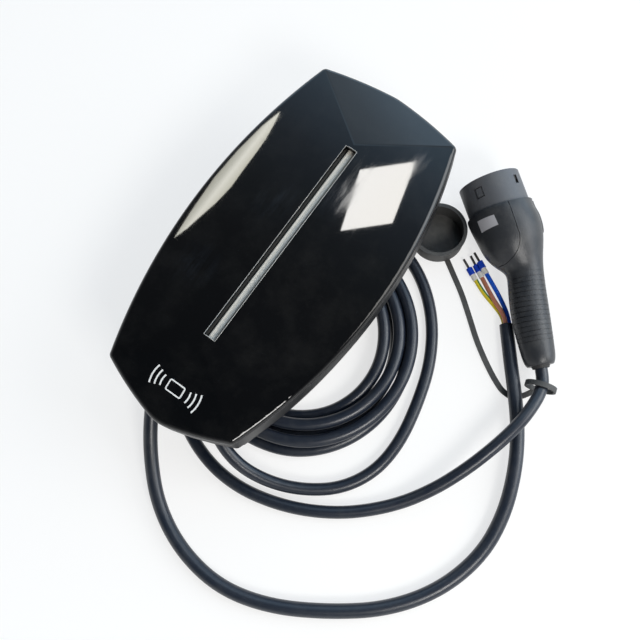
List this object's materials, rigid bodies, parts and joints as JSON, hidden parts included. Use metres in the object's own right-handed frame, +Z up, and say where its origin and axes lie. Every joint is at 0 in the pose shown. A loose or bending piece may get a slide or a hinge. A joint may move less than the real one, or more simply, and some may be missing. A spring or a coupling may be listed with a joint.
{
  "type": "ev wallbox",
  "caption": "Wall charger for electric cars with a gem-cut front cover and a light bar, lying on its coiled charging cable with its connector, dust cap and stripped supply cable.",
  "frame": {"origin": "middle of the wall bracket's screw pattern, on its seat in the back of the housing", "axes": "+X to the right of the face, +Y up the wall, +Z out of the face; the wallbox lies on its back, so +Z is up"},
  "size_m": [0.4169, 0.511, 0.1285],
  "materials": {
    "black_gloss": "high gloss",
    "diffuser": "satin translucent",
    "black_satin": "satin",
    "charcoal": "satin, fine grain",
    "black_rubber": "matt",
    "cable_sheath": "satin",
    "board_green": "satin",
    "chip_yellow": "gloss",
    "zinc_steel": "zinc plated",
    "brass": "machined",
    "relay_black": "matt",
    "module_blue": "matt",
    "can": "sleeved",
    "terminal_green": "matt",
    "silver": "silver plated",
    "core_black": "satin",
    "wire_blue": "satin",
    "wire_brown": "satin",
    "wire_earth": "green with a yellow stripe",
    "sleeve_white": "satin",
    "collar_blue": "satin",
    "tinned": "dull tinned"
  },
  "bodies": {
    "root": {"front_cover": "black_gloss", "light_bar": "diffuser", "light_board": "board_green", "light_chips": "chip_yellow", "rear_housing": "black_satin", "cover_seal": "black_rubber", "cover_screws": "zinc_steel", "bracket_inserts": "brass", "main_board": "board_green", "board_screws": "zinc_steel", "card_reader_board": "board_green", "reader_screws": "zinc_steel", "power_relays": "relay_black", "power_module": "module_blue", "capacitors": "can", "current_sensor": "relay_black", "supply_terminals": "terminal_green", "output_terminals": "terminal_green", "supply_cores": "core_black", "charge_cores": "core_black", "supply_gland_body": "black_satin", "supply_gland_nut": "black_satin", "supply_gland_seal": "black_rubber", "supply_gland_locknut": "black_satin", "charge_gland_body": "black_satin", "charge_gland_nut": "black_satin", "charge_gland_seal": "black_rubber", "charge_gland_locknut": "black_satin", "supply_cable": "cable_sheath", "charge_cable_start": "cable_sheath", "charge_cable_coil": "cable_sheath", "charge_cable_lead": "cable_sheath", "connector_shroud": "charcoal", "connector_body": "charcoal", "connector_panel": "charcoal", "connector_bush": "black_rubber", "contact_carrier": "charcoal", "contact_sleeves": "silver", "dust_cap": "black_rubber", "cap_strap": "black_rubber", "conductor_blue": "wire_blue", "conductor_brown": "wire_brown", "conductor_earth": "wire_earth", "ferrule_sleeves": "sleeve_white", "ferrule_collars": "collar_blue", "ferrule_pins": "tinned"}
  },
  "joints": []
}
